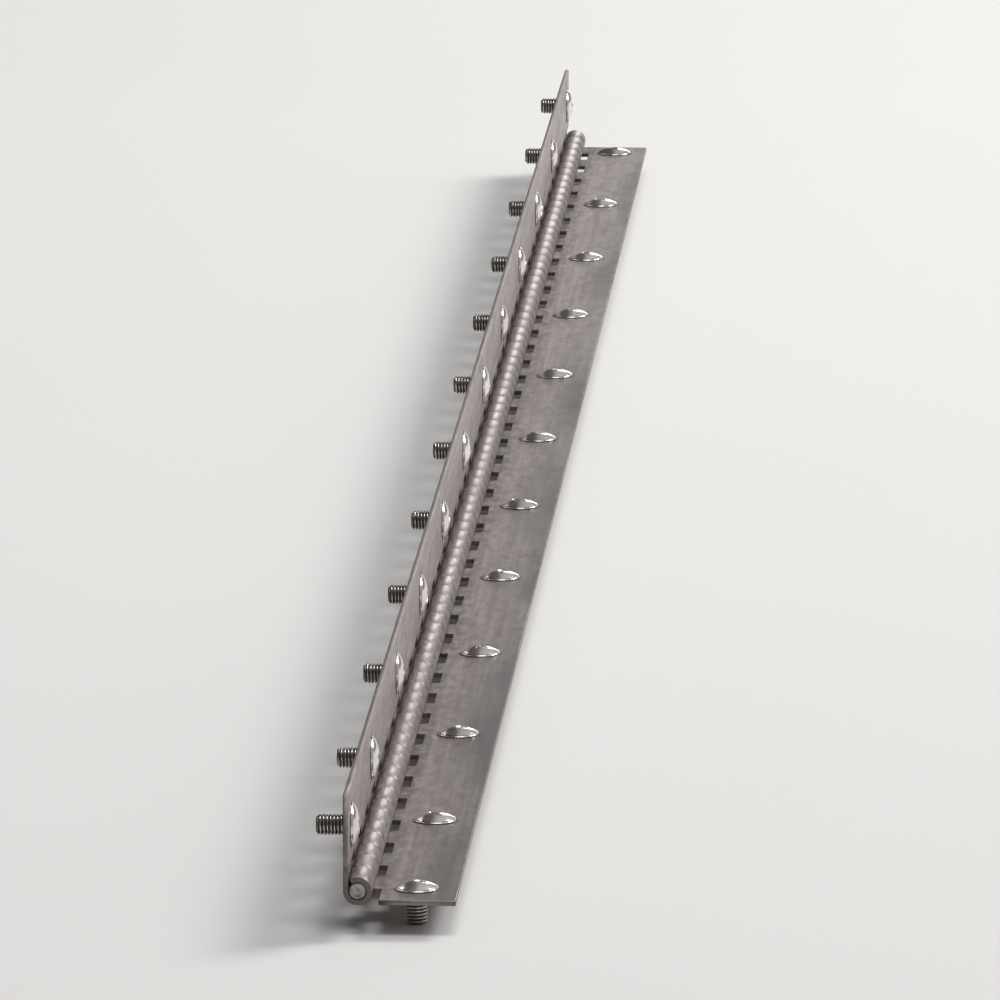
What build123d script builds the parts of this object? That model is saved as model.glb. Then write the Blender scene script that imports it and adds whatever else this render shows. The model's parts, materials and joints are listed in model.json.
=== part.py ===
from build123d import *

import os
from math import asin, degrees

# Piano hinge: two rolled sheet leaves on one long pin, each fastened through by a row of domed screws.
# The origin is on the pin's axis at mid-length, and +Y runs along the pin. The hinge stands open at a
# right angle: the cabinet leaf rises in +Z and the bench leaf lies in +X. Sizes are in millimetres.

# Whole hinge
hinge_length = 1117.6
leaf_width = 22.2  # pin axis to a leaf's free edge
leaf_thickness = 1.2

# Pin, and the knuckles rolled round it
pin_radius = 2.0
pin_clearance = 0.05  # radial, a running fit
pin_end_chamfer = 0.4
knuckle_length = 12.7  # nominal; the count is the even number that fits the hinge best
knuckle_gap = 0.3  # between the ends of neighbouring knuckles
notch_clearance = 1.5  # barrel to the root of the notch that the other leaf's knuckle turns in
seam_gap = 0.2  # rolled edge to its own leaf

# Screws: low domed heads on the inner faces, points out of the backs
screw_row = 12.7  # pin axis to the centres of a leaf's screws
screw_pitch = 101.6
screw_end_margin = 12.7  # end of the hinge to its first and last screws
head_radius = 5.0
head_height = 1.9
head_rim = 0.5  # height of the head's upright edge
neck_radius = 2.5  # plain neck inside the leaf
hole_clearance = 0.25  # radial, neck to leaf
thread_radius = 2.24  # mean radius of the threaded shank
screw_length = 8.0  # under the head
point_chamfer = 0.5
recess_width = 0.9  # arms of the cross recess
recess_span = 4.6
recess_depth = 1.3

# Sizes that follow
barrel_bore = pin_radius + pin_clearance
barrel_radius = barrel_bore + leaf_thickness
notch_root = barrel_radius + notch_clearance
rolled_edge_angle = degrees(asin((barrel_bore - seam_gap) / barrel_radius))
knuckle_count = 2 * round(hinge_length / knuckle_length / 2)
knuckle_pitch = hinge_length / knuckle_count
screw_hole_radius = neck_radius + hole_clearance
first_screw = screw_end_margin - hinge_length / 2
last_screw = hinge_length / 2 - screw_end_margin


def screw_stations():
    """Places of a leaf's screws along the pin: full pitches from the far end, and one at the near end."""
    stations = [last_screw]
    while stations[-1] - screw_pitch > first_screw + head_radius * 2:
        stations.append(stations[-1] - screw_pitch)
    stations.append(first_screw)
    return sorted(stations)


def knuckle_centres(first):
    """Centres along the pin of every second knuckle, from the knuckle numbered first."""
    start = -hinge_length / 2 + knuckle_pitch / 2
    return [start + knuckle_pitch * number for number in range(first, knuckle_count, 2)]


def make_leaf(section_plane, layout_plane, other_knuckles):
    """One strip rolled round the pin along one edge, notched for the other leaf's knuckles and drilled.

    In the section plane, x runs from the pin axis to the free edge and y towards the inner face.
    In the layout plane, x is the same and y runs along the pin.
    """
    with BuildPart() as leaf:
        with BuildSketch(section_plane):
            with BuildLine():
                back = Line((0, -barrel_radius), (leaf_width, -barrel_radius))
                free_edge = Line(back @ 1, (leaf_width, -barrel_bore))
                Line(free_edge @ 1, (0, -barrel_bore))
                roll = CenterArc((0, 0), barrel_bore, 270, -270 - rolled_edge_angle)
                outer_roll = CenterArc((0, 0), barrel_radius, 270, -270 - rolled_edge_angle)
                Line(roll @ 1, outer_roll @ 1)
            make_face()
        extrude(amount=hinge_length / 2, both=True)
        with BuildSketch(layout_plane):
            with Locations(*[(0, y) for y in other_knuckles]):
                Rectangle(2 * notch_root, knuckle_pitch + knuckle_gap)
        extrude(amount=2 * barrel_radius, both=True, mode=Mode.SUBTRACT)
        with BuildSketch(layout_plane):
            with Locations(*[(screw_row, y) for y in screw_stations()]):
                Circle(screw_hole_radius)
        extrude(amount=2 * barrel_radius, both=True, mode=Mode.SUBTRACT)
    return leaf.part


def make_screw(seat):
    """One screw: domed head on the seat plane, cross recess, plain neck, threaded shank behind."""
    axial_plane = Plane(seat.origin, x_dir=seat.x_dir, z_dir=-seat.y_dir)
    with BuildPart() as screw:
        with BuildSketch(axial_plane):
            with BuildLine():
                dome = TangentArc((0, head_height), (head_radius, head_rim), tangent=(1, 0))
                Polyline(
                    dome @ 1,
                    (head_radius, 0),
                    (neck_radius, 0),
                    (neck_radius, -leaf_thickness),
                    (thread_radius, -leaf_thickness),
                    (thread_radius, point_chamfer - screw_length),
                    (thread_radius - point_chamfer, -screw_length),
                    (0, -screw_length),
                    dome @ 0,
                )
            make_face()
        revolve(axis=Axis(seat.origin, seat.z_dir))
        with BuildSketch(seat.offset(head_height)):
            Rectangle(recess_span, recess_width)
            Rectangle(recess_width, recess_span)
        extrude(amount=-recess_depth, mode=Mode.SUBTRACT)
    return screw.part


def save(piece, name):
    """Label a finished piece and write it under its own name."""
    piece.label = name
    export_step(piece, f"parts/{name}.step")


os.makedirs("parts", exist_ok=True)

# Leaves: the cabinet's holds the first knuckle at the near end, the bench's the last at the far end
save(make_leaf(Plane.ZX, Plane.ZY, knuckle_centres(1)), "cabinet_leaf")
save(make_leaf(Plane.XZ, Plane.XY, knuckle_centres(0)), "bench_leaf")

# Pin: one plain wire through every knuckle
with BuildPart() as hinge_pin:
    with BuildSketch(Plane.XZ):
        Circle(pin_radius)
    extrude(amount=hinge_length / 2, both=True)
    pin_ends = hinge_pin.faces().sort_by(Axis.Y)
    chamfer((pin_ends[0].edges() + pin_ends[-1].edges()), length=pin_end_chamfer)
save(hinge_pin.part, "hinge_pin")

# Screws: one in every hole, head on the leaf's inner face
for number, y in enumerate(screw_stations(), start=1):
    cabinet_seat = Plane((-barrel_bore, y, screw_row), x_dir=(0, 0, 1), z_dir=(1, 0, 0))
    save(make_screw(cabinet_seat), f"cabinet_screw_{number:02d}")
    bench_seat = Plane((screw_row, y, -barrel_bore), x_dir=(1, 0, 0), z_dir=(0, 0, 1))
    save(make_screw(bench_seat), f"bench_screw_{number:02d}")
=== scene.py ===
import json
import math

import bmesh
import bpy
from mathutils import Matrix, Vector
from mathutils.geometry import tessellate_polygon

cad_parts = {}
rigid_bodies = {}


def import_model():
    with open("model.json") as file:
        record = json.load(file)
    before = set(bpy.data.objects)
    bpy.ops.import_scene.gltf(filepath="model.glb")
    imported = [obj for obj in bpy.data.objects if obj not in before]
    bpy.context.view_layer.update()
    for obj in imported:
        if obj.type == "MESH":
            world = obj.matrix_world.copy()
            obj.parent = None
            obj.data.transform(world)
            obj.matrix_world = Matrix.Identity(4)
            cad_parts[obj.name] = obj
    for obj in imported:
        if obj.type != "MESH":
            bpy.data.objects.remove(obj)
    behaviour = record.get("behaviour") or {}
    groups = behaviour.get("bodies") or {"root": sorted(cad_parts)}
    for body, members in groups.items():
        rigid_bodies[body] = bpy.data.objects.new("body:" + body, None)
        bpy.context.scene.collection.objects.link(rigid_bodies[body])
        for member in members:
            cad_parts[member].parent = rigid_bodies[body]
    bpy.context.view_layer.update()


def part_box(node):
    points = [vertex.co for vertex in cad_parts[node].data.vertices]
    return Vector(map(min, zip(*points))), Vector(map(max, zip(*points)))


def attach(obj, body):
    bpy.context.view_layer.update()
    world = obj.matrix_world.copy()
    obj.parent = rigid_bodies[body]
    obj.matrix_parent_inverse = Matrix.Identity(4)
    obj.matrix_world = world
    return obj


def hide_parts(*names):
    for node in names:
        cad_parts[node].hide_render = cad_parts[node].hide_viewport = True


# A piano hinge: two rolled leaves on one pin, with a row of domed screws through each leaf.
# Lengths are in metres. Each leaf is worked out flat, as (out, along, through): out from the pin's
# axis to the free edge, along the pin, and through the sheet from its back to its inner face.

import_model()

MM = 0.001
CABINET = "cabinet_side"
BENCH = "bench_side"
SCREWS_A_LEAF = 12

# Sizes taken from the frame
cabinet_low, cabinet_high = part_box("cabinet_leaf")
screw_low, screw_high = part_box("bench_screw_01")
pin_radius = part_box("hinge_pin")[1].x
hinge_start = cabinet_low.y
hinge_end = cabinet_high.y
barrel_radius = -cabinet_low.x
leaf_width = cabinet_high.z
screw_row = (screw_low.x + screw_high.x) / 2
head_radius = (screw_high.x - screw_low.x) / 2
point_level = screw_low.z
head_top = screw_high.z

# Sizes of the rolled sheet
pin_clearance = 0.05 * MM
barrel_bore = pin_radius + pin_clearance
thickness = barrel_radius - barrel_bore
mid_radius = (barrel_bore + barrel_radius) / 2
knuckles_a_leaf = 44
knuckle_pitch = (hinge_end - hinge_start) / (2 * knuckles_a_leaf)
knuckle_gap = 0.3 * MM
notch_root = barrel_radius + 1.5 * MM
notch_corner = 0.6 * MM
seam_gap = 0.2 * MM
rolled_angle = math.radians(270) + math.asin((barrel_bore - seam_gap) / barrel_radius)
rolled_edge = -rolled_angle * mid_radius
hole_radius = 2.75 * MM
edge_round = 0.16 * MM

# Sizes of a screw, counted from the leaf's inner face
head_height = head_top + barrel_bore
screw_length = -barrel_bore - point_level
neck_radius = 2.5 * MM
head_rim = 0.5 * MM
thread_pitch = 0.8 * MM
thread_crest = 2.46 * MM
thread_root = 2.03 * MM
point_taper = 0.6 * MM
dome_rise = head_height - head_rim
dome_radius = (head_radius ** 2 + dome_rise ** 2) / (2 * dome_rise)

# Rings on the sheet's faces round a screw's axis: (radius, dirt and painted shade on the back, dirt and
# painted shadow of the head on the inner face)
dirt_and_shade_rings = ((head_radius + 0.05 * MM, 0.1, 1.0),
              (head_radius + 0.5 * MM, 0.0, 0.4),
              (head_radius + 1.0 * MM, 0.0, 0.0))


# ---------------------------------------------------------------- Materials

class Finish:
    """A material under construction: short calls add its nodes and wire them."""

    def __init__(self, name):
        self.material = bpy.data.materials.new(name)
        self.material.use_nodes = True
        self.tree = self.material.node_tree
        self.shader = self.tree.nodes["Principled BSDF"]

    def node(self, kind, inputs=None, **settings):
        """A new node, with its settings made before its inputs are fed."""
        made = self.tree.nodes.new(kind)
        for name, value in settings.items():
            setattr(made, name, value)
        for name, value in (inputs or {}).items():
            self.feed(made.inputs[name], value)
        return made

    def feed(self, socket, value):
        if isinstance(value, bpy.types.NodeSocket):
            self.tree.links.new(value, socket)
        else:
            socket.default_value = value

    def math(self, operation, *values):
        made = self.tree.nodes.new("ShaderNodeMath")
        made.operation = operation
        for socket, value in zip(made.inputs, values):
            self.feed(socket, value)
        return made.outputs[0]

    def millimetres(self):
        """Place on the piece, in millimetres."""
        place = self.node("ShaderNodeTexCoord").outputs["Object"]
        scaled = self.node("ShaderNodeVectorMath", operation="SCALE")
        self.feed(scaled.inputs[0], place)
        scaled.inputs["Scale"].default_value = 1 / MM
        return scaled.outputs[0]

    def stretched(self, place, across, along):
        """Place squeezed or drawn out: how many pattern units a millimetre holds across and along the pin."""
        made = self.node("ShaderNodeVectorMath", operation="MULTIPLY")
        self.feed(made.inputs[0], place)
        made.inputs[1].default_value = (across, along, across)
        return made.outputs[0]

    def noise(self, place, detail=3.0, roughness=0.55):
        made = self.node("ShaderNodeTexNoise", {"Vector": place, "Scale": 1.0, "Detail": detail,
                                                "Roughness": roughness})
        return made.outputs["Fac"]

    def ramp(self, value, low, high, out_low=0.0, out_high=1.0):
        """Value between low and high, taken smoothly to out_low and out_high."""
        made = self.node("ShaderNodeMapRange", interpolation_type="SMOOTHSTEP")
        for name, number in (("Value", value), ("From Min", low), ("From Max", high),
                             ("To Min", out_low), ("To Max", out_high)):
            self.feed(made.inputs[name], number)
        return made.outputs["Result"]

    def blend(self, amount, first, second):
        """First colour, taken towards the second by the amount."""
        made = self.node("ShaderNodeMix", {"Factor": amount, "A": first, "B": second}, data_type="RGBA")
        return made.outputs["Result"]

    def bump(self, height, strength, distance, under=None):
        made = self.node("ShaderNodeBump", {"Height": height, "Strength": strength,
                                            "Distance": distance})
        if under is not None:
            self.feed(made.inputs["Normal"], under)
        return made.outputs["Normal"]

    def finish(self, **values):
        """Feeds the shader, by its sockets' names in small letters, and returns the material."""
        for name, value in values.items():
            self.feed(self.shader.inputs[name.replace("_", " ").title()], value)
        return self.material


def rolled_sheet_finish(name, out_axis, edge_painted_shade, dirt_and_shade_reach):
    """Zinc-plated sheet in a brownish tone, partly its own and partly a painted warm reflection: rolling
    grain along the pin, blotches, scuffs, and dirt and painted shade in the corners.

    The rolled barrel is rubbed to an even tone. The flat of the leaf is painted darker in patches towards its
    free edge, a painted shade by the edge amount given, and the dirt and painted shade by its notches reach
    up to the given millimetres out from their roots.
    """
    f = Finish(name)
    place = f.millimetres()
    split = f.node("ShaderNodeSeparateXYZ", {"Vector": place})
    out, along = split.outputs[out_axis], split.outputs["Y"]
    round_pin = f.math("SQRT", f.math("ADD", f.math("POWER", split.outputs["X"], 2.0),
                                      f.math("POWER", split.outputs["Z"], 2.0)))

    # Patterns, most of them drawn out along the pin, the way the sheet was rolled
    grain = f.noise(f.stretched(place, 9.0, 0.12), detail=4.0, roughness=0.7)
    streaks = f.noise(f.stretched(place, 0.9, 0.012), detail=3.0)
    blotches = f.noise(f.stretched(place, 0.16, 0.05), detail=5.0, roughness=0.62)
    mottle = f.noise(f.stretched(place, 0.42, 0.16), detail=3.0, roughness=0.6)
    speckle = f.noise(f.stretched(place, 3.2, 2.6), detail=2.0)
    scuffs = f.noise(f.stretched(place, 5.5, 0.35), detail=5.0, roughness=0.85)
    ragged = f.noise(f.stretched(place, 1.6, 0.9), detail=4.0, roughness=0.7)
    waves = f.noise(f.stretched(place, 0.07, 0.018), detail=1.0)
    patches = f.noise(f.stretched(place, 0.05, 0.007), detail=2.0)

    on_barrel = f.ramp(round_pin, barrel_radius / MM + 0.05, barrel_radius / MM + 0.5, 1.0, 0.0)
    on_flat = f.math("SUBTRACT", 1.0, on_barrel)
    sheared = f.node("ShaderNodeAttribute", attribute_name="sheared").outputs["Fac"]
    head_dirt_and_shade = f.node("ShaderNodeAttribute", attribute_name="head_dirt_and_shade").outputs["Fac"]

    # Grime at the knuckles' ends; dirt and painted shade beside the notches; dirt and painted shadow round
    # the heads
    to_gap = f.math("PINGPONG", f.math("SUBTRACT", along, hinge_start / MM), knuckle_pitch / MM / 2)
    at_gap = f.math("MULTIPLY", f.ramp(to_gap, 0.1, 0.4, 0.45, 0.0), on_barrel)
    # Dirt and painted shade beside the notches' roots, reaching out over the flat
    notch_dirt_and_shade = f.ramp(f.math("ADD", out, f.math("MULTIPLY", ragged, 1.6)), notch_root / MM + 0.4,
                      notch_root / MM + dirt_and_shade_reach, 0.75, 0.0)
    notch_dirt_and_shade = f.math("MULTIPLY", notch_dirt_and_shade, f.ramp(mottle, 0.35, 0.6, 0.6, 1.0))
    notch_dirt_and_shade = f.math("MULTIPLY", notch_dirt_and_shade, on_flat)
    # Painted shadow round the heads, with dirt, from the rings round each hole
    head_shadow_and_dirt = f.math("MULTIPLY", head_dirt_and_shade, f.ramp(ragged, 0.25, 0.6, 0.7, 1.0))
    grime_and_shade = f.math("MAXIMUM", f.math("MAXIMUM", at_gap, notch_dirt_and_shade), head_shadow_and_dirt)

    # Colour: the plated sheet, its warm tone partly a painted reflection, its stains, the painted shade
    # towards the free edge, the barrel, the scuffs, the grime, and the dirt and painted shade
    colour = f.blend(f.ramp(streaks, 0.3, 0.72), (0.3, 0.26, 0.253, 1), (0.45, 0.395, 0.386, 1))
    colour = f.blend(f.ramp(blotches, 0.46, 0.72, 0.0, 0.55), colour, (0.225, 0.19, 0.184, 1))
    colour = f.blend(f.ramp(mottle, 0.5, 0.68, 0.0, 0.5), colour, (0.2, 0.165, 0.163, 1))
    colour = f.blend(f.ramp(mottle, 0.46, 0.32, 0.0, 0.35), colour, (0.56, 0.515, 0.506, 1))
    colour = f.blend(f.ramp(speckle, 0.6, 0.78, 0.0, 0.3), colour, (0.23, 0.205, 0.2, 1))
    # Painted shade: the flat of the leaf is painted darker in patches towards its free edge
    painted_edge_shade = f.math("MULTIPLY", f.ramp(out, 9.0, leaf_width / MM - 2.5, 0.0, edge_painted_shade),
                    f.ramp(patches, 0.4, 0.58, 0.35, 1.0))
    colour = f.blend(painted_edge_shade, colour, (0.13, 0.11, 0.113, 1))
    colour = f.blend(f.math("MULTIPLY", on_barrel, 0.7), colour, (0.235, 0.208, 0.203, 1))
    colour = f.blend(f.ramp(scuffs, 0.64, 0.72, 0.0, 0.5), colour, (0.66, 0.62, 0.6, 1))
    colour = f.blend(f.math("MULTIPLY", sheared, 0.5), colour, (0.3, 0.27, 0.26, 1))
    # Darkened by the grime at the knuckles' ends and by the dirt and painted shade by the notches and heads
    colour = f.blend(f.math("MULTIPLY", grime_and_shade, 0.8), colour, (0.075, 0.066, 0.062, 1))

    rough = f.ramp(grain, 0.25, 0.75, 0.30, 0.44)
    rough = f.math("ADD", rough, f.ramp(blotches, 0.4, 0.75, 0.0, 0.1))
    rough = f.math("ADD", rough, f.math("MULTIPLY", grime_and_shade, 0.25))
    rough = f.math("ADD", rough, f.math("MULTIPLY", sheared, 0.12))
    normal = f.bump(grain, 0.22, 0.012 * MM)
    normal = f.bump(scuffs, f.ramp(on_flat, 0.0, 1.0, 0.08, 0.2), 0.02 * MM, normal)
    normal = f.bump(waves, f.ramp(on_flat, 0.0, 1.0, 0.05, 0.4), 0.15 * MM, normal)
    return f.finish(base_color=colour, metallic=1.0, roughness=rough, normal=normal)


def drawn_wire_finish():
    """Dull drawn wire, with fine rings and dry grease."""
    f = Finish("drawn_wire")
    place = f.millimetres()
    rings = f.noise(f.stretched(place, 0.6, 7.0), detail=3.0)
    stains = f.noise(f.stretched(place, 0.8, 0.5), detail=4.0, roughness=0.7)
    colour = f.blend(f.ramp(stains, 0.35, 0.7), (0.42, 0.41, 0.4, 1), (0.17, 0.15, 0.13, 1))
    rough = f.ramp(rings, 0.3, 0.7, 0.34, 0.52)
    return f.finish(base_color=colour, metallic=1.0, roughness=rough,
                    normal=f.bump(rings, 0.3, 0.02 * MM))


def plated_screw_finish():
    """Bright plated screw: each head a little different, dirt down in the threads, and dirt and painted shade
    down in the cross.
    """
    f = Finish("plated_screw")
    place = f.millimetres()
    tint = f.node("ShaderNodeAttribute", attribute_name="tint").outputs["Fac"]
    depth = f.ramp(f.node("ShaderNodeAttribute", attribute_name="hollow").outputs["Fac"], 0.0, 0.5)
    haze = f.noise(f.stretched(place, 1.3, 1.3), detail=4.0, roughness=0.6)
    nicks = f.noise(f.stretched(place, 6.0, 6.0), detail=4.0, roughness=0.8)
    colour = f.blend(tint, (0.86, 0.83, 0.815, 1), (0.7, 0.665, 0.65, 1))
    colour = f.blend(f.ramp(haze, 0.5, 0.78, 0.0, 0.4), colour, (0.36, 0.31, 0.28, 1))
    colour = f.blend(f.ramp(nicks, 0.68, 0.76, 0.0, 0.5), colour, (0.3, 0.28, 0.27, 1))
    # Dirt in the threads, and dirt and painted shade down in the cross, darken with depth
    colour = f.blend(f.math("MULTIPLY", depth, 0.85), colour, (0.07, 0.062, 0.055, 1))
    rough = f.ramp(haze, 0.3, 0.75, 0.12, 0.24)
    rough = f.math("ADD", rough, f.math("MULTIPLY", depth, 0.3))
    return f.finish(base_color=colour, metallic=1.0, roughness=rough,
                    normal=f.bump(nicks, 0.25, 0.02 * MM))


def floor_finish():
    """Plain pale studio floor."""
    f = Finish("pale_floor")
    mottle = f.noise(f.stretched(f.millimetres(), 0.004, 0.004), detail=2.0)
    colour = f.blend(mottle, (0.78, 0.775, 0.77, 1), (0.8, 0.797, 0.79, 1))
    return f.finish(base_color=colour, roughness=0.75)


# ---------------------------------------------------------------- Mesh work shared by the pieces

def close_rings(bm, rings):
    """Skins rings of points from the top one down, and closes both ends."""
    sides = len(rings[0])
    for upper, lower in zip(rings, rings[1:]):
        for i in range(sides):
            j = (i + 1) % sides
            bm.faces.new((upper[i], lower[i], lower[j], upper[j]))
    bm.faces.new(rings[0])
    bm.faces.new(rings[-1][::-1])


def linked_object(name, bm):
    """An object in the scene made from a finished bmesh, which it uses up."""
    mesh = bpy.data.meshes.new(name)
    bm.to_mesh(mesh)
    bm.free()
    made = bpy.data.objects.new(name, mesh)
    bpy.context.scene.collection.objects.link(made)
    return made


def turn_faces_out(mesh):
    """Points every face of a closed mesh outwards."""
    bm = bmesh.new()
    bm.from_mesh(mesh)
    bmesh.ops.recalc_face_normals(bm, faces=bm.faces)
    bm.to_mesh(mesh)
    bm.free()


def quarter_steps(count):
    """Angles through a quarter turn, both ends included."""
    return [math.pi / 2 * step / count for step in range(count + 1)]


# ---------------------------------------------------------------- Rolled leaves

def roll_up(out, along, through):
    """A point of the flat sheet, rolled round the pin where it lies past the axis."""
    if out >= 0:
        return Vector((out, along, through - mid_radius))
    angle = math.radians(270) + out / mid_radius
    radius = mid_radius - through
    return Vector((radius * math.cos(angle), along, radius * math.sin(angle)))


def sheet_edge_layers():
    """(inset, through, sheared) of the layers that round a sheared edge, from the back to the inner face."""
    back = []
    for a, sheared in zip(quarter_steps(2), (0.0, 0.6, 1.0)):
        back.append((edge_round * (1 - math.sin(a)), edge_round * (1 - math.cos(a)) - thickness / 2, sheared))
    return back + [(inset, -through, sheared) for inset, through, sheared in reversed(back)]


def cell_outline(start, end, knuckle_start, knuckle_end):
    """Outline of one cell of the flat sheet, round from the free edge at its start.

    Returns the points, and the numbers of the points at which the rolled tongue's first side starts, its
    second side starts, and its second side has ended.
    """
    rows = 34
    tongue = [notch_root - notch_corner, 0.0] + [rolled_edge * row / rows for row in range(1, rows + 1)]
    corner = [(notch_root - notch_corner * (1 - math.cos(a)), notch_corner * (1 - math.sin(a)))
              for a in quarter_steps(3)[:-1]]
    points = [(leaf_width, start)]
    if knuckle_start > start:
        points.append((notch_root, start))
        points += [(out, knuckle_start - aside) for out, aside in corner]
    first_side = len(points)
    points += [(out, knuckle_start) for out in tongue]
    second_side = len(points)
    points += [(out, knuckle_end) for out in reversed(tongue)]
    after = len(points)
    if knuckle_end < end:
        points += [(out, knuckle_end + aside) for out, aside in reversed(corner)]
        points.append((notch_root, end))
    points.append((leaf_width, end))
    return points, first_side, second_side, after


def circle_round_screw(along, radius):
    """Points of a circle on the flat sheet round the axis of a screw, turning as a hole's outline does."""
    sides = 32
    turns = [-math.tau * i / sides for i in range(sides)]
    return [(screw_row + radius * math.cos(a), along + radius * math.sin(a)) for a in turns]


def inward_moves(points, walls):
    """For each point of a closed outline, the way it moves for an inset of one.

    walls says for each side whether it moves. A point between two sides that stay doesn't move.
    """
    sharpest_mitre = 0.3
    moves = []
    count = len(points)
    for i in range(count):
        before, here, after = (Vector(points[(i + k) % count]) for k in (-1, 0, 1))
        normals = []
        for side, moved in ((here - before, walls[i - 1]), (after - here, walls[i])):
            if moved:
                side.normalize()
                normals.append(Vector((side.y, -side.x)))
        if not normals:
            moves.append(Vector((0, 0)))
            continue
        total = sum(normals, Vector((0, 0))).normalized()
        moves.append(total / max(sharpest_mitre, total.dot(normals[0])))
    return moves


class SheetMesh:
    """A mesh worked out on the flat sheet, each point of which is rolled up and put in its place."""

    def __init__(self, place):
        self.place = place
        self.bm = bmesh.new()
        self.sheared = self.bm.verts.layers.float.new("sheared")
        # Dirt and painted shade round the screw holes: the painted shadow of each head on the inner face
        self.head_dirt_and_shade = self.bm.verts.layers.float.new("head_dirt_and_shade")

    def ring(self, outline, through, sheared=0.0, dirt_and_shade=0.0):
        """The points of an outline, at one level through the sheet."""
        made = []
        for out, along in outline:
            vert = self.bm.verts.new(self.place(roll_up(out, along, through)))
            vert[self.sheared] = sheared
            vert[self.head_dirt_and_shade] = dirt_and_shade
            made.append(vert)
        return made

    def face(self, corners, smooth, turned=False):
        """One face on the corners, or on their other side if turned."""
        self.bm.faces.new(corners[::-1] if turned else corners).smooth = smooth

    def sheared_edge(self, outline, walls, back_dirt_and_shade=0.0, inner_dirt_and_shade=0.0):
        """The rounded edge of an outline, on the sides that have walls. Returns its first and last rings."""
        moves = inward_moves(outline, walls)
        rings = []
        for inset, through, sheared in sheet_edge_layers():
            moved = [Vector(point) + move * inset for point, move in zip(outline, moves)]
            rings.append(self.ring(moved, through, sheared, back_dirt_and_shade if through < 0 else inner_dirt_and_shade))
        for lower, upper in zip(rings, rings[1:]):
            for i, wall in enumerate(walls):
                if wall:
                    j = (i + 1) % len(walls)
                    self.face([lower[i], upper[i], upper[j], lower[j]], True)
        return rings[0], rings[-1]

    def widen_hole(self, border, along, is_back):
        """Rings out from a screw hole's border, for the dirt and painted shadow round a head.

        Returns the last ring and its outline.
        """
        outline = []
        for radius, back_dirt_and_shade, inner_dirt_and_shade in dirt_and_shade_rings:
            outline = circle_round_screw(along, radius)
            wider = self.ring(outline, -thickness / 2 if is_back else thickness / 2,
                              dirt_and_shade=back_dirt_and_shade if is_back else inner_dirt_and_shade)
            for i in range(len(border)):
                j = (i + 1) % len(border)
                self.face([border[i], wider[i], wider[j], border[j]], False, turned=not is_back)
            border = wider
        return border, outline

    def flat_face(self, verts, outline, hole_outline, is_back):
        """Triangles between an outline and a hole. verts are the outline's, then the hole's."""
        flat = [Vector((*point, 0)) for point in outline + hole_outline]
        loops = [flat[:len(outline)], flat[len(outline):]] if hole_outline else [flat]
        for triple in tessellate_polygon(loops):
            a, b, c = (flat[i] for i in triple)
            upward = (b - a).cross(c - a).z > 0
            self.face([verts[i] for i in triple], False, turned=upward == is_back)


def leaf_cell(name, start, end, knuckle_start, knuckle_end, open_start, open_end, hole_at, place):
    """One cell of a leaf: its rolled knuckle with half a notch on each side, with or without a screw hole.

    An open start or end has no wall, because the next cell joins on there.
    """
    points, first_side, second_side, after = cell_outline(start, end, knuckle_start, knuckle_end)
    count = len(points)
    walls = [True] * count
    walls[0] = not open_start
    walls[count - 2] = not open_end
    sheet = SheetMesh(place)
    rings = sheet.sheared_edge(points, walls)
    hole_rings = [], []
    if hole_at is not None:
        hole = circle_round_screw(hole_at, hole_radius)
        # The hole's edge is darkened: dirt and painted shade
        hole_rings = sheet.sheared_edge(hole, [True] * len(hole), back_dirt_and_shade=0.5, inner_dirt_and_shade=1.0)

    # The two faces: flat from the free edge to the tongue's second row, then rolled row by row
    flat = list(range(first_side + 2)) + list(range(after - 2, count))
    for outer, border, is_back in zip(rings, hole_rings, (True, False)):
        hole_outline = []
        if border:
            border, hole_outline = sheet.widen_hole(border, hole_at, is_back)
        sheet.flat_face([outer[i] for i in flat] + border, [points[i] for i in flat], hole_outline, is_back)
        for step in range(1, second_side - first_side - 1):
            near, far = first_side + step, after - 1 - step
            sheet.face([outer[near], outer[near + 1], outer[far - 1], outer[far]], True, turned=is_back)

    mesh = bpy.data.meshes.new(name)
    bmesh.ops.remove_doubles(sheet.bm, verts=sheet.bm.verts, dist=0.0001 * MM)
    sheet.bm.to_mesh(mesh)
    sheet.bm.free()
    return bpy.data.objects.new(name, mesh)


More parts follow.
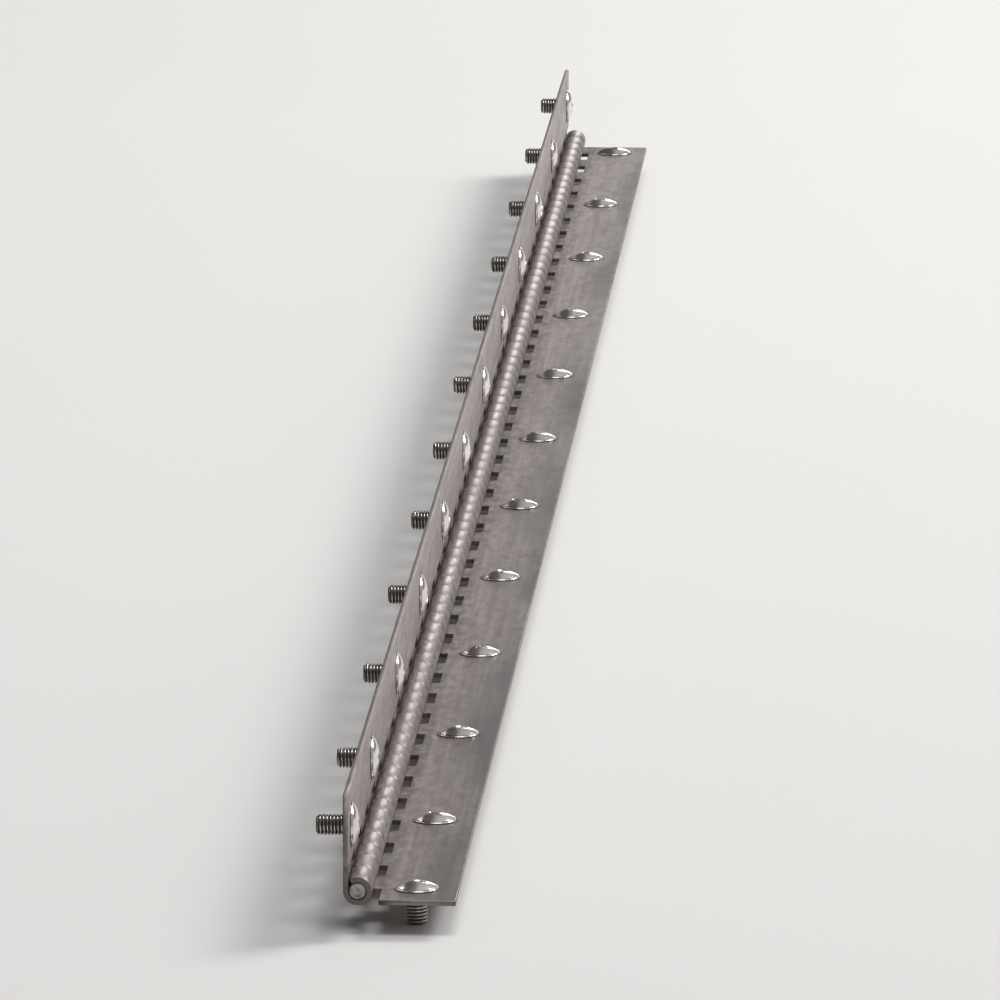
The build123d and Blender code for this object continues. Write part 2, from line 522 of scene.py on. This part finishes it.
def row_of_cells_tree():
    """Geometry Nodes: a cell on every point of the row, picked by kind, joined into one sheet."""
    tree = bpy.data.node_groups.new("row_of_cells", "GeometryNodeTree")
    put = tree.interface.new_socket
    put("Row", in_out="INPUT", socket_type="NodeSocketGeometry")
    put("Cells", in_out="INPUT", socket_type="NodeSocketCollection")
    put("Join Distance", in_out="INPUT", socket_type="NodeSocketFloat")
    put("Finish", in_out="INPUT", socket_type="NodeSocketMaterial")
    put("Leaf", in_out="OUTPUT", socket_type="NodeSocketGeometry")
    add = tree.nodes.new
    link = tree.links.new
    given = add("NodeGroupInput")
    result = add("NodeGroupOutput")
    cells = add("GeometryNodeCollectionInfo")
    cells.inputs["Separate Children"].default_value = True
    kind = add("GeometryNodeInputNamedAttribute")
    kind.data_type = "INT"
    kind.inputs["Name"].default_value = "kind"
    place = add("GeometryNodeInstanceOnPoints")
    place.inputs["Pick Instance"].default_value = True
    real = add("GeometryNodeRealizeInstances")
    join = add("GeometryNodeMergeByDistance")
    paint = add("GeometryNodeSetMaterial")
    link(given.outputs["Cells"], cells.inputs["Collection"])
    link(given.outputs["Row"], place.inputs["Points"])
    link(cells.outputs["Instances"], place.inputs["Instance"])
    link(kind.outputs["Attribute"], place.inputs["Instance Index"])
    link(place.outputs["Instances"], real.inputs["Geometry"])
    link(real.outputs["Geometry"], join.inputs["Geometry"])
    link(given.outputs["Join Distance"], join.inputs["Distance"])
    link(join.outputs["Geometry"], paint.inputs["Geometry"])
    link(given.outputs["Finish"], paint.inputs["Material"])
    link(paint.outputs["Geometry"], result.inputs["Leaf"])
    return tree


def points_object(name, places, kinds=None):
    """An object of loose points, with a whole number named kind on each if kinds are given."""
    mesh = bpy.data.meshes.new(name)
    mesh.from_pydata(places, [], [])
    if kinds is not None:
        mesh.attributes.new("kind", "INT", "POINT").data.foreach_set("value", kinds)
    made = bpy.data.objects.new(name, mesh)
    bpy.context.scene.collection.objects.link(made)
    return made


def grow(points, tree, name, **inputs):
    """Runs a tree on a points object, which it uses up, and returns a plain mesh object of the result.

    The inputs are the tree's own, with _ for a space.
    """
    modifier = points.modifiers.new("grow", "NODES")
    modifier.node_group = tree
    sockets = {item.name: item.identifier for item in tree.interface.items_tree if item.in_out == "INPUT"}
    for title, value in inputs.items():
        modifier[sockets[title.replace("_", " ")]] = value
    graph = bpy.context.evaluated_depsgraph_get()
    mesh = bpy.data.meshes.new_from_object(points.evaluated_get(graph), depsgraph=graph)
    mesh.name = name
    bpy.data.objects.remove(points)
    made = bpy.data.objects.new(name, mesh)
    bpy.context.scene.collection.objects.link(made)
    return made


def screw_nodes(leaf):
    """Names of one leaf's screws in the frame."""
    return [f"{leaf}_screw_{number:02d}" for number in range(1, SCREWS_A_LEAF + 1)]


def screw_stations(leaf):
    """Places along the pin of one leaf's screws."""
    boxes = [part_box(name) for name in screw_nodes(leaf)]
    return [(low.y + high.y) / 2 for low, high in boxes]


def make_leaf(leaf, tree, first_centre, place, material):
    """A whole leaf: an end cell, plain and drilled cells, and the other end cell, in one closed sheet."""
    half = (knuckle_pitch - knuckle_gap) / 2
    centres = [first_centre + 2 * knuckle_pitch * i for i in range(knuckles_a_leaf)]

    # The sheet ends with the hinge, and so does a knuckle that is the hinge's first or last
    near = hinge_start - centres[0]
    far = hinge_end - centres[-1]
    tongue_near = near if -near < knuckle_pitch else -half
    tongue_far = far if far < knuckle_pitch else half

    # Every screw lies at the same place in its own cell, and both end cells have one
    stations = screw_stations(leaf)
    hole = stations[0] - centres[0]

    # The letters put the cells in the order of their kinds: 0 near end, 1 plain, 2 drilled, 3 far end
    cells = bpy.data.collections.new(f"{leaf}_cells")
    spans = (("a_near_end", near, knuckle_pitch, tongue_near, half, False, True, hole),
             ("b_plain", -knuckle_pitch, knuckle_pitch, -half, half, True, True, None),
             ("c_drilled", -knuckle_pitch, knuckle_pitch, -half, half, True, True, hole),
             ("d_far_end", -knuckle_pitch, far, -half, tongue_far, True, False, hole))
    for title, *span in spans:
        cells.objects.link(leaf_cell(f"{leaf}_{title}", *span, place))
    kinds = []
    for centre in centres:
        drilled = any(abs(station - centre - hole) < knuckle_pitch / 2 for station in stations)
        kinds.append(2 if drilled else 1)
    kinds[0] = 0
    kinds[-1] = 3

    row = points_object(f"{leaf}_row", [(0, centre, 0) for centre in centres], kinds)
    made = grow(row, tree, f"{leaf}_rolled_leaf", Cells=cells, Join_Distance=0.002 * MM, Finish=material)
    for source in list(cells.objects):
        bpy.data.objects.remove(source)
    bpy.data.collections.remove(cells)
    turn_faces_out(made.data)
    return made


# ---------------------------------------------------------------- Pin

def make_pin(material):
    """Plain wire with rounded, lightly peened ends."""
    bm = bmesh.new()
    sides = 40
    rounding = 0.45 * MM
    dish = 0.18 * MM
    # (radius, depth below the pin's end), from the peened dish out to the wire's side
    profile = [(0.35 * pin_radius, dish), (0.62 * pin_radius, dish * 0.5)]
    for a in quarter_steps(4):
        profile.append((pin_radius - rounding * (1 - math.sin(a)), rounding * (1 - math.cos(a))))
    rings = []
    for end, way in ((hinge_start, 1), (hinge_end, -1)):
        side_rings = []
        for radius, depth in profile:
            side_rings.append([bm.verts.new((radius * math.cos(math.tau * i / sides), end + way * depth,
                                             radius * math.sin(math.tau * i / sides))) for i in range(sides)])
        rings += side_rings if way == 1 else side_rings[::-1]
    for first, second in zip(rings, rings[1:]):
        for i in range(sides):
            j = (i + 1) % sides
            bm.faces.new((first[i], first[j], second[j], second[i])).smooth = True
    bm.faces.new(rings[0][::-1])
    bm.faces.new(rings[-1])
    bmesh.ops.recalc_face_normals(bm, faces=bm.faces)
    made = linked_object("pin_wire", bm)
    made.data.materials.append(material)
    return made


# ---------------------------------------------------------------- Screws

def screw_profile():
    """(radius, height) down a screw from the top of its dome to the end of its neck."""
    rim = 0.22 * MM
    rim_flattening = 0.4
    widest = math.asin((head_radius - 0.25 * MM) / dome_radius)
    steps = 12
    rows = []
    for step in range(1, steps + 1):
        a = widest * step / steps
        rows.append((dome_radius * math.sin(a), head_height - dome_radius * (1 - math.cos(a))))
    for a in quarter_steps(3):
        rows.append((head_radius - rim * (1 - math.sin(a)),
                     head_rim - rim * rim_flattening - rim * (1 - math.cos(a))))
    # The rim's lower corner, the flat underside, and the neck with its small fillet
    rows += [(head_radius, 0.12 * MM), (head_radius - 0.1 * MM, 0.02 * MM), (head_radius - 0.3 * MM, 0.0),
             (neck_radius + 0.15 * MM, 0.0), (neck_radius, -0.12 * MM), (neck_radius, -thickness)]
    return rows


def thread_radius(height, angle):
    """Radius of the helical thread at a height below the head and an angle round the shank."""
    peak = 1.35  # where the flanks would meet, past the flat crest at 1
    flank_slope = 1.7
    runout_turns = 0.6
    point_depth = 0.25 * MM
    turn = (height / thread_pitch - angle / math.tau) % 1.0
    wave = min(1.0, max(0.0, peak - abs(turn * 2 - 1) * flank_slope))
    runout = min(1.0, (-height - thickness) / (runout_turns * thread_pitch))
    point = min(1.0, (screw_length + height) / point_taper)
    ridge = (thread_crest - thread_root) * runout * point
    return thread_root + ridge * wave - (1 - point) * point_depth


def cross_cutter():
    """A tapered cross, pointing down, that cuts the driver recess."""
    bm = bmesh.new()
    # (level, reach of an arm, half an arm's width), from above the dome down to the recess's floor
    levels = ((head_height + 0.2 * MM, 2.45 * MM, 0.5 * MM),
              (head_height - 0.25 * MM, 2.2 * MM, 0.46 * MM),
              (head_height - 1.15 * MM, 1.15 * MM, 0.33 * MM),
              (head_height - 1.4 * MM, 0.4 * MM, 0.2 * MM))
    rings = []
    for level, reach, half in levels:
        inner_corner = half * 1.25
        ring = []
        for quarter in range(4):
            a = quarter * math.pi / 2
            for out, side in ((reach, -half), (reach, half), (inner_corner, inner_corner)):
                ring.append(bm.verts.new((out * math.cos(a) - side * math.sin(a),
                                          out * math.sin(a) + side * math.cos(a), level)))
        rings.append(ring)
    close_rings(bm, rings)
    bmesh.ops.recalc_face_normals(bm, faces=bm.faces)
    return linked_object("cross_cutter", bm)


def screw_blank():
    """A whole screw without its recess, standing on the origin along +Z."""
    sides = 40
    rows_a_turn = 8
    turns = [math.tau * i / sides for i in range(sides)]
    bm = bmesh.new()
    rings = []
    for radius, height in screw_profile():
        rings.append([bm.verts.new((radius * math.cos(a), radius * math.sin(a), height)) for a in turns])
    shank = screw_length - thickness
    rows = round(shank / thread_pitch * rows_a_turn)
    for row in range(1, rows + 1):
        height = -thickness - shank * row / rows
        radii = [thread_radius(height, a) for a in turns]
        rings.append([bm.verts.new((radius * math.cos(a), radius * math.sin(a), height))
                      for radius, a in zip(radii, turns)])
    close_rings(bm, rings)
    return linked_object("screw_blank", bm)


def mark_hollows(mesh):
    """Stores on each point how deep it lies in the recess or the thread, for the dirt and painted shade in
    the recess and the dirt in the thread.
    """
    recess_reach = 3 * MM
    hollow = mesh.attributes.new("hollow", "FLOAT", "POINT")
    amounts = []
    for vert in mesh.vertices:
        x, y, z = vert.co
        radius = math.hypot(x, y)
        if z <= 0:
            amounts.append(min(0.8, max(0.0, (thread_crest - radius) / (thread_crest - thread_root))))
        elif radius < recess_reach:
            dome = head_height - dome_radius + math.sqrt(dome_radius ** 2 - radius ** 2)
            amounts.append(min(1.0, max(0.0, (dome - z - 0.1 * MM) / (0.7 * MM))))
        else:
            amounts.append(0.0)
    hollow.data.foreach_set("value", amounts)


def smooth_but_for_corners(mesh, corner):
    """Smooths a mesh, and keeps the edges where it turns by more than the corner's angle."""
    for polygon in mesh.polygons:
        polygon.use_smooth = True
    bm = bmesh.new()
    bm.from_mesh(mesh)
    for edge in bm.edges:
        if len(edge.link_faces) == 2:
            edge.smooth = edge.calc_face_angle() < corner
    bm.to_mesh(mesh)
    bm.free()


def make_screw_pattern():
    """One screw standing on the origin along +Z, its head above the seat and its thread below."""
    blank = screw_blank()
    cutter = cross_cutter()
    cut = blank.modifiers.new("recess", "BOOLEAN")
    cut.operation = "DIFFERENCE"
    cut.solver = "EXACT"
    cut.object = cutter
    graph = bpy.context.evaluated_depsgraph_get()
    mesh = bpy.data.meshes.new_from_object(blank.evaluated_get(graph), depsgraph=graph)
    bpy.data.objects.remove(cutter)
    bpy.data.objects.remove(blank)
    mark_hollows(mesh)
    smooth_but_for_corners(mesh, math.radians(38))
    return bpy.data.objects.new("screw_pattern", mesh)


def row_of_screws_tree():
    """Geometry Nodes: a screw on every seat, each driven home at its own angle."""
    tree = bpy.data.node_groups.new("row_of_screws", "GeometryNodeTree")
    put = tree.interface.new_socket
    put("Seats", in_out="INPUT", socket_type="NodeSocketGeometry")
    put("Screw", in_out="INPUT", socket_type="NodeSocketObject")
    put("Facing", in_out="INPUT", socket_type="NodeSocketVector")
    put("Seed", in_out="INPUT", socket_type="NodeSocketInt")
    put("Finish", in_out="INPUT", socket_type="NodeSocketMaterial")
    put("Screws", in_out="OUTPUT", socket_type="NodeSocketGeometry")
    add = tree.nodes.new
    link = tree.links.new
    given = add("NodeGroupInput")
    result = add("NodeGroupOutput")
    pattern = add("GeometryNodeObjectInfo")
    pattern.inputs["As Instance"].default_value = True
    stand = add("FunctionNodeAlignRotationToVector")
    stand.axis = "Z"
    spin = add("FunctionNodeRandomValue")
    spin.data_type = "FLOAT"
    spin.inputs["Max"].default_value = math.tau
    turn = add("FunctionNodeAxisAngleToRotation")
    turn.inputs["Axis"].default_value = (0, 0, 1)
    both = add("FunctionNodeRotateRotation")
    both.rotation_space = "LOCAL"
    place = add("GeometryNodeInstanceOnPoints")
    shade = add("FunctionNodeRandomValue")
    shade.data_type = "FLOAT"
    keep = add("GeometryNodeStoreNamedAttribute")
    keep.data_type = "FLOAT"
    keep.domain = "INSTANCE"
    keep.inputs["Name"].default_value = "tint"
    real = add("GeometryNodeRealizeInstances")
    paint = add("GeometryNodeSetMaterial")
    link(given.outputs["Screw"], pattern.inputs["Object"])
    link(given.outputs["Facing"], stand.inputs["Vector"])
    link(given.outputs["Seed"], spin.inputs["Seed"])
    link(spin.outputs["Value"], turn.inputs["Angle"])
    link(stand.outputs["Rotation"], both.inputs["Rotation"])
    link(turn.outputs["Rotation"], both.inputs["Rotate By"])
    link(given.outputs["Seats"], place.inputs["Points"])
    link(pattern.outputs["Geometry"], place.inputs["Instance"])
    link(both.outputs["Rotation"], place.inputs["Rotation"])
    link(place.outputs["Instances"], keep.inputs["Geometry"])
    link(given.outputs["Seed"], shade.inputs["Seed"])
    link(shade.outputs["Value"], keep.inputs["Value"])
    link(keep.outputs["Geometry"], real.inputs["Geometry"])
    link(real.outputs["Geometry"], paint.inputs["Geometry"])
    link(given.outputs["Finish"], paint.inputs["Material"])
    link(paint.outputs["Geometry"], result.inputs["Screws"])
    return tree


def make_screws(leaf, tree, pattern, material, seat, facing, seed):
    """A leaf's whole row of screws. seat turns a place along the pin into the centre of a head's seat."""
    seats = points_object(f"{leaf}_seats", [seat(along) for along in screw_stations(leaf)])
    return grow(seats, tree, f"{leaf}_screws", Screw=pattern, Facing=facing, Seed=seed, Finish=material)


# ---------------------------------------------------------------- Making the hinge

def lay_flat(point):
    """Bench leaf: out along +X, its inner face up."""
    return point


def stand_up(point):
    """Cabinet leaf: out along +Z, its inner face towards +X."""
    return Vector((point.z, point.y, point.x))


cells_tree = row_of_cells_tree()
# Each leaf's finish is painted darker towards its free edge (painted shade) and by its notches (dirt and
# painted shade)
cabinet_leaf = make_leaf("cabinet", cells_tree, hinge_start + knuckle_pitch / 2, stand_up,
                         rolled_sheet_finish("upright_sheet", "Z", edge_painted_shade=0.15, dirt_and_shade_reach=2.4))
bench_leaf = make_leaf("bench", cells_tree, hinge_start + knuckle_pitch * 1.5, lay_flat,
                       rolled_sheet_finish("flat_sheet", "X", edge_painted_shade=0.85, dirt_and_shade_reach=5.4))
pin = make_pin(drawn_wire_finish())

screws_tree = row_of_screws_tree()
screw_pattern = make_screw_pattern()
screw_finish = plated_screw_finish()
cabinet_screws = make_screws("cabinet", screws_tree, screw_pattern, screw_finish,
                             lambda along: (-barrel_bore, along, screw_row), facing=(1.0, 0.0, 0.0), seed=3)
bench_screws = make_screws("bench", screws_tree, screw_pattern, screw_finish,
                           lambda along: (screw_row, along, -barrel_bore), facing=(0.0, 0.0, 1.0), seed=8)
bpy.data.objects.remove(screw_pattern)

for piece, body, slot, nodes in (
    (cabinet_leaf, CABINET, "leaf_steel", ["cabinet_leaf"]),
    (pin, CABINET, "pin_steel", ["hinge_pin"]),
    (cabinet_screws, CABINET, "screw_steel", screw_nodes("cabinet")),
    (bench_leaf, BENCH, "leaf_steel", ["bench_leaf"]),
    (bench_screws, BENCH, "screw_steel", screw_nodes("bench")),
):
    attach(piece, body)
    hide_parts(*nodes)


# ---------------------------------------------------------------- Studio

def make_floor():
    """Plain floor just under the points of the flat leaf's screws."""
    reach = 40.0
    level = point_level - 0.05 * MM
    corners = [(-reach, -reach, level), (reach, -reach, level), (reach, reach, level), (-reach, reach, level)]
    mesh = bpy.data.meshes.new("studio_floor")
    mesh.from_pydata(corners, [], [(0, 1, 2, 3)])
    mesh.materials.append(floor_finish())
    made = bpy.data.objects.new("studio_floor", mesh)
    bpy.context.scene.collection.objects.link(made)


def make_light(name, place, aim, width, height, power, colour):
    """A soft oblong light."""
    lamp = bpy.data.lights.new(name, "AREA")
    lamp.shape = "RECTANGLE"
    lamp.size = width
    lamp.size_y = height
    lamp.energy = power
    lamp.color = colour
    made = bpy.data.objects.new(name, lamp)
    made.location = place
    made.rotation_euler = (Vector(aim) - Vector(place)).to_track_quat("-Z", "Y").to_euler()
    made.visible_camera = False
    bpy.context.scene.collection.objects.link(made)


def make_world():
    """Soft studio air: brighter overhead, and dimmer on the cabinet's side, as if a dark screen stood there.
    """
    world = bpy.data.worlds.new("studio_air")
    world.use_nodes = True
    tree = world.node_tree
    way = tree.nodes.new("ShaderNodeTexCoord")
    split = tree.nodes.new("ShaderNodeSeparateXYZ")
    tree.links.new(way.outputs["Generated"], split.inputs[0])
    both = tree.nodes.new("ShaderNodeMath")
    both.operation = "MULTIPLY"
    # Strength by height and by side: between two places, from one strength to the other
    for socket, axis, steps in ((both.inputs[0], "Z", (-0.05, 0.8, 0.28, 0.5)),
                                (both.inputs[1], "X", (-0.13, 0.07, 0.2, 0.95))):
        lift = tree.nodes.new("ShaderNodeMapRange")
        lift.interpolation_type = "SMOOTHSTEP"
        for name, number in zip(("From Min", "From Max", "To Min", "To Max"), steps):
            lift.inputs[name].default_value = number
        tree.links.new(split.outputs[axis], lift.inputs["Value"])
        tree.links.new(lift.outputs["Result"], socket)
    back = tree.nodes["Background"]
    back.inputs["Color"].default_value = (1.0, 0.985, 0.97, 1)
    tree.links.new(both.outputs[0], back.inputs["Strength"])
    bpy.context.scene.world = world


def make_camera(place, aim, lens):
    """The scene's camera, looking from one place at another, with a lens in millimetres."""
    view = bpy.data.cameras.new("camera")
    view.lens = lens
    view.sensor_width = 36
    view.clip_start = 0.1
    view.clip_end = 100
    made = bpy.data.objects.new("camera", view)
    made.location = place
    made.rotation_euler = (Vector(aim) - Vector(place)).to_track_quat("-Z", "Y").to_euler()
    bpy.context.scene.collection.objects.link(made)
    bpy.context.scene.camera = made


make_floor()
make_world()
middle = Vector((leaf_width / 2, 0, leaf_width / 2))
make_light("key", (1.8, 1.5, 2.3), middle, 1.2, 1.2, 68, (1.0, 0.985, 0.965))
make_light("overhead", (0.3, -0.6, 3.0), middle, 1.5, 1.5, 34, (1.0, 0.995, 0.99))
make_light("tall_window", (0.22, 3.0, 0.74), middle, 0.34, 1.3, 5.0, (1.0, 0.98, 0.965))
make_light("far_end_strip", (-0.05, 2.05, 0.23), (0.0, hinge_end, 0.0), 0.22, 0.22, 0.1, (1.0, 0.99, 0.98))

# The camera stands well back, a little to the bench's side of the pin and above it, with a long lens
camera_place = (0.1731, hinge_start - 2.8238, 0.606)
camera_aim = (0.0044, 0.0, -0.012)
make_camera(camera_place, camera_aim, lens=461)

bpy.context.scene.view_settings.view_transform = "Standard"
bpy.context.view_layer.update()
